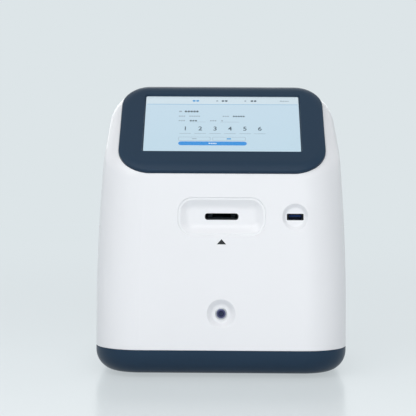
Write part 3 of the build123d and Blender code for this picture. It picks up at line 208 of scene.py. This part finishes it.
def make_materials():
    return {
        "housing_white": moulded("housing_white", case_white, rough=0.32, variation=0.012, grain=1400.0,
                                 grain_depth=0.00001, coat=0.25),
        "bezel_navy": moulded("bezel_navy", navy, rough=0.36, variation=0.06, grain=1500.0,
                              grain_depth=0.00002, mirror=0.14),
        "cover_glass": glass("cover_glass", (0.97, 0.99, 1.0, 1.0), mirror=0.15),
        "display": screen_material("display", srgb(194, 218, 232), srgb(199, 220, 234)),
        "black_plastic": moulded("black_plastic", srgb(30, 32, 36), rough=0.42, variation=0.1, grain=1200.0,
                                 mirror=0.35),
        "button_steel": metal("button_steel", srgb(208, 209, 213), rough=0.2),
        "button_blue": moulded("button_blue", srgb(10, 20, 58), rough=0.2, variation=0.1, grain_depth=0.00001,
                               coat=0.1, mirror=0.3),
        # the port's steel shell is coloured dark, as painted shade inside the port
        "usb_steel": metal("usb_steel", srgb(36, 42, 54), rough=0.3),
        # the port's blue tongue: its own blue, darkened with painted shade inside the port
        "usb_blue": moulded("usb_blue", srgb(10, 40, 84), rough=0.4, variation=0.1, mirror=0.15),
        "foot_rubber": moulded("foot_rubber", srgb(30, 31, 33), rough=0.75, variation=0.15, grain=500.0,
                               grain_depth=0.0001),
        "screw_steel": metal("screw_steel", srgb(176, 178, 182), rough=0.28),
        "sheet_steel": metal("sheet_steel", srgb(184, 186, 190), rough=0.38, brushed=(1, 0.08, 1),
                             scale=500.0, anisotropy=0.4),
        "anodised_black": metal("anodised_black", srgb(46, 47, 51), rough=0.42),
        "machined_aluminium": metal("machined_aluminium", srgb(205, 207, 211), rough=0.33,
                                    brushed=(1, 0.05, 1), scale=600.0, anisotropy=0.3),
        "rod_steel": metal("rod_steel", srgb(205, 206, 210), rough=0.12, brushed=(1, 0.03, 1), scale=300.0),
        "bush_brass": metal("bush_brass", srgb(201, 164, 92), rough=0.25),
        "lens_glass": glass("lens_glass", (0.9, 0.96, 1.0, 1.0), rough=0.005, ior=1.6),
        "board_green": moulded("board_green", srgb(22, 92, 52), rough=0.35, variation=0.15, grain=600.0,
                               coat=0.4),
        "rear_grey": moulded("rear_grey", srgb(128, 134, 142), rough=0.5, variation=0.05, grain=1100.0,
                             grain_depth=0.00008),
        "motor_black": moulded("motor_black", srgb(34, 35, 38), rough=0.4, variation=0.1, grain=700.0),
    }


def dress_nodes(materials):
    """Each CAD node gets the finish of its slot; the button's cap is a darker mirror than its ring."""
    slots = {part["node"]: part["material_slot"] for part in frame["record"]["subparts"]}
    for name, node in frame["nodes"].items():
        slot = slots[name]
        node.data.materials.clear()
        node.data.materials.append(materials[slot])
    cap = frame["nodes"]["power_button"]
    cap.data.materials[0] = metal("button_cap", srgb(96, 98, 132), rough=0.1)


# ------------------------------------------------------------ mesh helpers
def frame_matrix(origin, out):
    """Local x to the right, y up the face, z out of it."""
    z = Vector(out).normalized()
    x = Vector((1, 0, 0))
    y = z.cross(x)
    turn = Matrix((x, y, z)).transposed().to_4x4()
    return Matrix.Translation(Vector(origin) * mm) @ turn


def screen_frame():
    return frame_matrix((0, screen_y, screen_z), (0, -sin(screen_slope), cos(screen_slope)))


def front_frame(x, z):
    y = front_seam_y + (z - seam_z) * tan(front_lean)
    return frame_matrix((x, y, z), (0, -cos(front_lean), sin(front_lean)))


def rounded(width, height, radius, steps):
    """The outline of a rounded rectangle, counter-clockwise, in millimetres."""
    points = []
    for corner in range(4):
        angle = corner * pi / 2
        cx = (width / 2 - radius) * (1 if corner in (0, 3) else -1)
        cy = (height / 2 - radius) * (1 if corner in (0, 1) else -1)
        for i in range(steps + 1):
            turn = angle + i * pi / 2 / steps
            points.append((cx + radius * cos(turn), cy + radius * sin(turn)))
    return points


def add_slab(mesh, outline, low, high, at=(0, 0), hole=None):
    """Adds a flat slab with the given outline to a bmesh; a hole has as many points as the outline."""
    def ring(points, z):
        return [mesh.verts.new(((x + at[0]) * mm, (y + at[1]) * mm, z * mm)) for x, y in points]

    under, over = ring(outline, low), ring(outline, high)
    steps = [(i, (i + 1) % len(outline)) for i in range(len(outline))]
    for i, j in steps:
        mesh.faces.new((under[i], under[j], over[j], over[i]))
    if hole is None:
        mesh.faces.new(over)
        mesh.faces.new(list(reversed(under)))
        return
    hole_under, hole_over = ring(hole, low), ring(hole, high)
    for i, j in steps:
        mesh.faces.new((hole_under[j], hole_under[i], hole_over[i], hole_over[j]))
        mesh.faces.new((over[i], over[j], hole_over[j], hole_over[i]))
        mesh.faces.new((under[j], under[i], hole_under[i], hole_under[j]))


def finish_piece(name, mesh, place, material, body):
    data = bpy.data.meshes.new(name)
    bmesh.ops.transform(mesh, matrix=place, verts=mesh.verts)
    bmesh.ops.recalc_face_normals(mesh, faces=mesh.faces)
    mesh.to_mesh(data)
    mesh.free()
    piece = bpy.data.objects.new(name, data)
    bpy.context.scene.collection.objects.link(piece)
    data.materials.append(material)
    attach(piece, body)


# ------------------------------------------------------------ what the screen shows
film = 0.03                 # the header is one film thick, and the marks are two
ink_low = panel_top
ink_high = panel_top + 2 * film
window_width = 150.0
window_height = 84.0
header_height = 10.9
header_over = 2.0           # extra width and height, under the window's rim
header_line = 0.7

tab_row = 36.6
tab_height = 2.4
title_row = 19.9
choice_row = 12.6
entry_row = 5.7
dash_row = -13.7
dash_half = 5.6
dash_height = 0.7
field_row = -21.8
field_height = 5.8
field_line = 0.45           # width of a field's outline
pill_row = -28.5
pill_height = 5.6
pill_width = 65.6
pill_x = -9.15
pill_flat = 0.01            # keeps the two arcs of an end from sharing a point

digit_row = -6.5
digit_first = -35.6
digit_pitch = 14.4
digit_count = 6
digit_height = 7.8
digit_stretch = 1.05        # the figures are this much taller than the font has them
digit_weight = 0.1

# a row of marks: left, right, row, height, length of one mark, gap
dark_words = (
    (-0.6, 5.6, tab_row, tab_height, 2.6, 0.6),
    (28.0, 33.6, tab_row, tab_height, 2.6, 0.6),
    (-36.7, -22.6, title_row, 2.5, 2.3, 0.5),
    (10.4, 21.8, choice_row, 1.9, 1.9, 0.5),
    (-31.5, -23.2, entry_row, 1.9, 2.0, 0.5),
)
grey_words = (
    (57.0, 65.5, tab_row, 1.5, 1.8, 0.6),
    (-42.3, -35.0, choice_row, 1.5, 1.7, 0.5),
    (-32.2, -20.3, choice_row, 1.5, 1.7, 0.5),
    (0.4, 7.8, choice_row, 1.5, 1.7, 0.5),
    (-42.3, -35.1, entry_row, 1.5, 1.7, 0.5),
    (-11.8, -4.3, entry_row, 1.5, 1.7, 0.5),
    (-1.0, 2.2, entry_row, 1.5, 1.7, 0.5),
)
blue_words = ((-29.2, -22.6, tab_row, tab_height, 2.8, 0.7),)
tab_icons = (-5.0, 22.7)
title_icon = -40.8
fields = ((-41.9, -11.2), (-9.2, 22.6))
left_field_text = (-29.0, -24.4)
left_text_height = 1.5
right_field_text = (4.4, 8.6)
right_text_height = 1.7
entry_lines = ((-31.5, -16.0), (-1.9, 16.0))
entry_drop = 1.9            # an entry's line below the middle of its row
field_text_lift = 0.2       # a field's text above the field's middle
pill_words = ((-12.9, -11.2), (-10.8, -9.1), (-8.7, -7.0), (-6.6, -5.3))
pill_word_height = 1.5
least_mark = 0.6            # share of a mark's length under which a row leaves its last one off
bar_round = 0.3             # corner of a bar, as a share of its height


def bar_at(mesh, left, right, y, height):
    """A short rounded bar that stands for a line of text."""
    outline = rounded(right - left, height, radius=height * bar_round, steps=3)
    add_slab(mesh, outline, ink_low, ink_high, ((left + right) / 2, y))


def words_at(mesh, left, right, y, height, word, gap):
    """A row of small blocks that stands for lettering."""
    x = left
    while x + word * least_mark < right:
        end = min(x + word, right)
        bar_at(mesh, x, end, y, height)
        x = end + gap


def screen_piece(name, mesh, material):
    finish_piece(name, mesh, screen_frame(), material, "base")


def screen_header(materials):
    mesh = bmesh.new()
    place = (0, window_height / 2 - header_height / 2 + header_over / 2)
    outline = rounded(window_width + header_over, header_height + header_over, radius=0.5, steps=2)
    add_slab(mesh, outline, ink_low, ink_low + film, place)
    screen_piece("screen_header", mesh, materials["header"])
    mesh = bmesh.new()
    outline = rounded(window_width - header_over, header_line, radius=0.2, steps=2)
    add_slab(mesh, outline, ink_low, ink_high, (0, window_height / 2 - header_height))
    screen_piece("screen_header_line", mesh, materials["line_blue"])


def screen_dark_marks(materials):
    """Two tabs in the header, the form's title, a choice and an entry."""
    mesh = bmesh.new()
    for row in dark_words:
        words_at(mesh, *row)
    screen_piece("screen_marks_dark", mesh, materials["ink_dark"])


def screen_grey_marks(materials):
    """Icons beside the title and the tabs, a mark at the header's right, and the form's labels."""
    mesh = bmesh.new()
    add_slab(mesh, rounded(3.0, 2.0, radius=0.6, steps=3), ink_low, ink_high, (title_icon, title_row))
    for x in tab_icons:
        add_slab(mesh, rounded(2.0, 2.0, radius=0.9, steps=4), ink_low, ink_high, (x, tab_row))
    for row in grey_words:
        words_at(mesh, *row)
    screen_piece("screen_marks_grey", mesh, materials["ink_grey"])


def screen_lines(materials):
    """Lines under two entries, a dash under each digit, two outlined fields and the left one's text."""
    mesh = bmesh.new()
    for left, right in entry_lines:
        bar_at(mesh, left, right, entry_row - entry_drop, field_line)
    for i in range(digit_count):
        x = digit_first + i * digit_pitch
        bar_at(mesh, x - dash_half, x + dash_half, dash_row, dash_height)
    for left, right in fields:
        width = right - left
        outline = rounded(width, field_height, radius=1.0, steps=4)
        hole = rounded(width - 2 * field_line, field_height - 2 * field_line, radius=0.6, steps=4)
        add_slab(mesh, outline, ink_low, ink_high, ((left + right) / 2, field_row), hole)
    bar_at(mesh, *left_field_text, field_row + field_text_lift, left_text_height)
    screen_piece("screen_lines", mesh, materials["ink_pale"])


def screen_blue_marks(materials):
    """The blue tab, and the right field's text."""
    mesh = bmesh.new()
    for row in blue_words:
        words_at(mesh, *row)
    bar_at(mesh, *right_field_text, field_row + field_text_lift, right_text_height)
    screen_piece("screen_marks_blue", mesh, materials["mark_blue"])


def screen_pill(materials):
    """The long round-ended button, and the mark on it."""
    mesh = bmesh.new()
    outline = rounded(pill_width, pill_height, radius=pill_height / 2 - pill_flat, steps=10)
    add_slab(mesh, outline, ink_low, ink_high, (pill_x, pill_row))
    screen_piece("screen_pill", mesh, materials["pill_blue"])
    mesh = bmesh.new()
    for left, right in pill_words:
        outline = rounded(right - left, pill_word_height, radius=0.3, steps=3)
        add_slab(mesh, outline, ink_high, ink_high + film, ((left + right) / 2, pill_row))
    screen_piece("screen_pill_mark", mesh, materials["mark_white"])


def screen_digits(materials):
    """Plain numbers, one over each dash."""
    for i in range(digit_count):
        curve = bpy.data.curves.new(f"digit_curve_{i + 1}", "FONT")
        curve.body = str(i + 1)
        curve.size = digit_height * mm
        curve.align_x = "CENTER"
        curve.align_y = "CENTER"
        curve.extrude = film * mm
        curve.offset = digit_weight * mm
        source = bpy.data.objects.new(f"digit_source_{i + 1}", curve)
        bpy.context.scene.collection.objects.link(source)
        bpy.context.view_layer.update()
        data = bpy.data.meshes.new_from_object(source)
        bpy.data.objects.remove(source)
        x = digit_first + i * digit_pitch
        lift = Matrix.Translation((x * mm, digit_row * mm, (ink_low + film) * mm))
        data.transform(screen_frame() @ lift @ Matrix.Diagonal((1, digit_stretch, 1, 1)))
        piece = bpy.data.objects.new(f"screen_digit_{i + 1}", data)
        bpy.context.scene.collection.objects.link(piece)
        data.materials.clear()
        data.materials.append(materials["ink_digit"])
        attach(piece, "base")


def make_screen(materials):
    """Lit colours of the picture, and the pieces that carry them."""
    materials["header"] = lit("screen_header_light", srgb(212, 227, 236))
    materials["line_blue"] = lit("screen_line_blue", srgb(140, 188, 220))
    materials["ink_dark"] = lit("screen_ink_dark", srgb(70, 90, 104))
    materials["ink_digit"] = lit("screen_ink_digit", srgb(48, 72, 88))
    materials["ink_grey"] = lit("screen_ink_grey", srgb(150, 168, 182))
    materials["ink_pale"] = lit("screen_ink_pale", srgb(164, 184, 198))
    materials["mark_blue"] = lit("screen_mark_blue", srgb(20, 150, 215))
    materials["pill_blue"] = lit("screen_pill_blue", srgb(0, 140, 222))
    materials["mark_white"] = lit("screen_mark_white", srgb(226, 238, 246))
    screen_header(materials)
    screen_dark_marks(materials)
    screen_grey_marks(materials)
    screen_lines(materials)
    screen_blue_marks(materials)
    screen_digits(materials)
    screen_pill(materials)


# ------------------------------------------------------------ print on the housing, symbol on the button
print_height = 0.05         # print above the housing's face
print_root = -0.02          # and its root below the face
triangle_width = 8.8
triangle_height = 4.8
triangle_top = 130.9


def printed_triangle(materials):
    """A plain arrow head that points up at the slot."""
    mesh = bmesh.new()
    half = triangle_width / 2
    outline = [(-half, -triangle_height), (half, -triangle_height), (0, 0)]
    add_slab(mesh, outline, print_root, print_height)
    finish_piece("printed_triangle", mesh, front_frame(0, triangle_top), materials["print_black"],
                 "base")


def arc_outline(radius, width, gap, steps=28):
    """A ring with a gap at its top, as one closed outline."""
    start = pi / 2 + gap / 2
    sweep = 2 * pi - gap
    outer = [start + sweep * i / steps for i in range(steps + 1)]
    points = [((radius + width / 2) * cos(a), (radius + width / 2) * sin(a)) for a in outer]
    points += [((radius - width / 2) * cos(a), (radius - width / 2) * sin(a)) for a in reversed(outer)]
    return points


symbol_radius = 1.2
symbol_line = 0.34
symbol_gap = radians(80)
symbol_stroke = 1.3
symbol_stroke_y = 1.1
symbol_low = -0.06          # the symbol lies in the cap's recess, just behind its front
symbol_high = -0.02


def power_symbol(materials):
    """A ring with a stroke through its gap, on the button's blue disc."""
    front = -button_dish_depth + button_ring + button_proud
    low, high = front + symbol_low, front + symbol_high
    mesh = bmesh.new()
    ring = arc_outline(symbol_radius, symbol_line, symbol_gap)
    last = len(ring) - 1
    for i in range(len(ring) // 2 - 1):
        quad = [ring[i], ring[i + 1], ring[last - 1 - i], ring[last - i]]
        add_slab(mesh, quad, low, high)
    bmesh.ops.remove_doubles(mesh, verts=mesh.verts, dist=1e-7)
    stroke = rounded(symbol_line, symbol_stroke, radius=0.1, steps=3)
    add_slab(mesh, stroke, low, high, (0, symbol_stroke_y))
    finish_piece("power_symbol", mesh, front_frame(0, button_z), materials["symbol_light"],
                 "power_key")


# ------------------------------------------------------------ stage and light
backdrop_colour = srgb(221, 229, 232)
floor_colour = srgb(232, 237, 240)
floor_reach = 14.0
fade_start = 0.25           # metres from the middle of the floor; nearer than this it stays the same
fade_end = 2.4              # beyond this the floor is all backdrop to the camera
fade_near = 0.6             # share of the backdrop's light in the floor beside the object
floor_rough = 0.2
floor_mirror = 0.4


def seen_ray(nodes, links):
    """1 for camera, mirror and glass rays, which see the pale backdrop; 0 for light that bounces."""
    path = nodes.new("ShaderNodeLightPath")
    seen = path.outputs["Is Camera Ray"]
    for kind in ("Is Transmission Ray", "Is Glossy Ray"):
        either = nodes.new("ShaderNodeMath")
        either.operation = "MAXIMUM"
        links.new(seen, either.inputs[0])
        links.new(path.outputs[kind], either.inputs[1])
        seen = either.outputs["Value"]
    return seen


def floor_material():
    """A pale, faintly glossy floor that fades into the backdrop away from the object."""
    material = bpy.data.materials.new("floor_pale")
    material.use_nodes = True
    nodes = material.node_tree.nodes
    links = material.node_tree.links
    shader = nodes["Principled BSDF"]
    shader.inputs["Base Color"].default_value = floor_colour
    shader.inputs["Roughness"].default_value = floor_rough
    shader.inputs["Specular IOR Level"].default_value = floor_mirror
    far = nodes.new("ShaderNodeEmission")
    far.inputs["Color"].default_value = backdrop_colour
    coordinates = nodes.new("ShaderNodeTexCoord")
    distance = nodes.new("ShaderNodeVectorMath")
    distance.operation = "LENGTH"
    links.new(coordinates.outputs["Object"], distance.inputs[0])
    fade = nodes.new("ShaderNodeMapRange")
    fade.interpolation_type = "SMOOTHSTEP"
    fade.inputs["From Min"].default_value = fade_start
    fade.inputs["From Max"].default_value = fade_end
    fade.inputs["To Min"].default_value = fade_near
    links.new(distance.outputs["Value"], fade.inputs["Value"])
    seen = nodes.new("ShaderNodeMath")
    seen.operation = "MULTIPLY"
    links.new(fade.outputs["Result"], seen.inputs[0])
    links.new(seen_ray(nodes, links), seen.inputs[1])
    mix = nodes.new("ShaderNodeMixShader")
    links.new(seen.outputs["Value"], mix.inputs["Fac"])
    links.new(shader.outputs["BSDF"], mix.inputs[1])
    links.new(far.outputs["Emission"], mix.inputs[2])
    links.new(mix.outputs["Shader"], nodes["Material Output"].inputs["Surface"])
    return material


def add_floor():
    mesh = bmesh.new()
    bmesh.ops.create_grid(mesh, x_segments=1, y_segments=1, size=floor_reach)
    data = bpy.data.meshes.new("floor")
    mesh.to_mesh(data)
    mesh.free()
    floor = bpy.data.objects.new("floor", data)
    bpy.context.scene.collection.objects.link(floor)
    data.materials.append(floor_material())


sky_colour = srgb(240, 242, 244)
sky_strength = 0.36         # soft light from all round; camera, mirror and glass rays see the backdrop


def add_world():
    world = bpy.data.worlds.new("studio")
    bpy.context.scene.world = world
    world.use_nodes = True
    nodes = world.node_tree.nodes
    links = world.node_tree.links
    background = nodes["Background"]
    background.inputs["Color"].default_value = sky_colour
    background.inputs["Strength"].default_value = sky_strength
    seen = nodes.new("ShaderNodeBackground")
    seen.inputs["Color"].default_value = backdrop_colour
    mix = nodes.new("ShaderNodeMixShader")
    links.new(seen_ray(nodes, links), mix.inputs["Fac"])
    links.new(background.outputs["Background"], mix.inputs[1])
    links.new(seen.outputs["Background"], mix.inputs[2])
    links.new(mix.outputs["Shader"], nodes["World Output"].inputs["Surface"])


def add_area(name, place, target, width, height, power, mirrored):
    """A soft lamp; one that is not mirrored leaves no bright patch on the floor in other views."""
    data = bpy.data.lights.new(name, "AREA")
    data.shape = "RECTANGLE"
    data.size = width
    data.size_y = height
    data.energy = power
    light = bpy.data.objects.new(name, data)
    bpy.context.scene.collection.objects.link(light)
    light.visible_camera = False
    light.visible_glossy = mirrored
    direction = Vector(target) - Vector(place)
    light.matrix_world = Matrix.Translation(place) @ direction.to_track_quat("-Z", "Y").to_matrix().to_4x4()


lamp_target = (0, 0, 0.14)  # the middle of the object, in metres
lamps = {                   # place, width and height in metres, power in watts, seen in mirrors or not
    "key": ((-0.55, -1.35, 1.55), 2.4, 1.8, 20.5, True),
    "fill": ((0.45, -1.9, 0.4), 1.2, 0.8, 9.2, False),
    "left": ((-1.9, 1.2, 0.9), 1.6, 1.2, 4, True),
    "right": ((1.9, 1.2, 0.9), 1.6, 1.2, 3, True),
    "back": ((-0.2, 1.9, 1.1), 2.0, 1.4, 12, True),
}


def add_lights():
    for name, (place, width, height, power, mirrored) in lamps.items():
        add_area(name, place, lamp_target, width, height, power, mirrored)


bpy.context.scene.view_settings.view_transform = "Standard"
add_camera()
materials = make_materials()
dress_nodes(materials)
materials["print_black"] = moulded("print_black", srgb(26, 27, 30), rough=0.5, variation=0.1)
materials["symbol_light"] = lit("symbol_light", srgb(110, 132, 170), strength=0.35)
make_screen(materials)
printed_triangle(materials)
power_symbol(materials)
add_floor()
add_world()
add_lights()
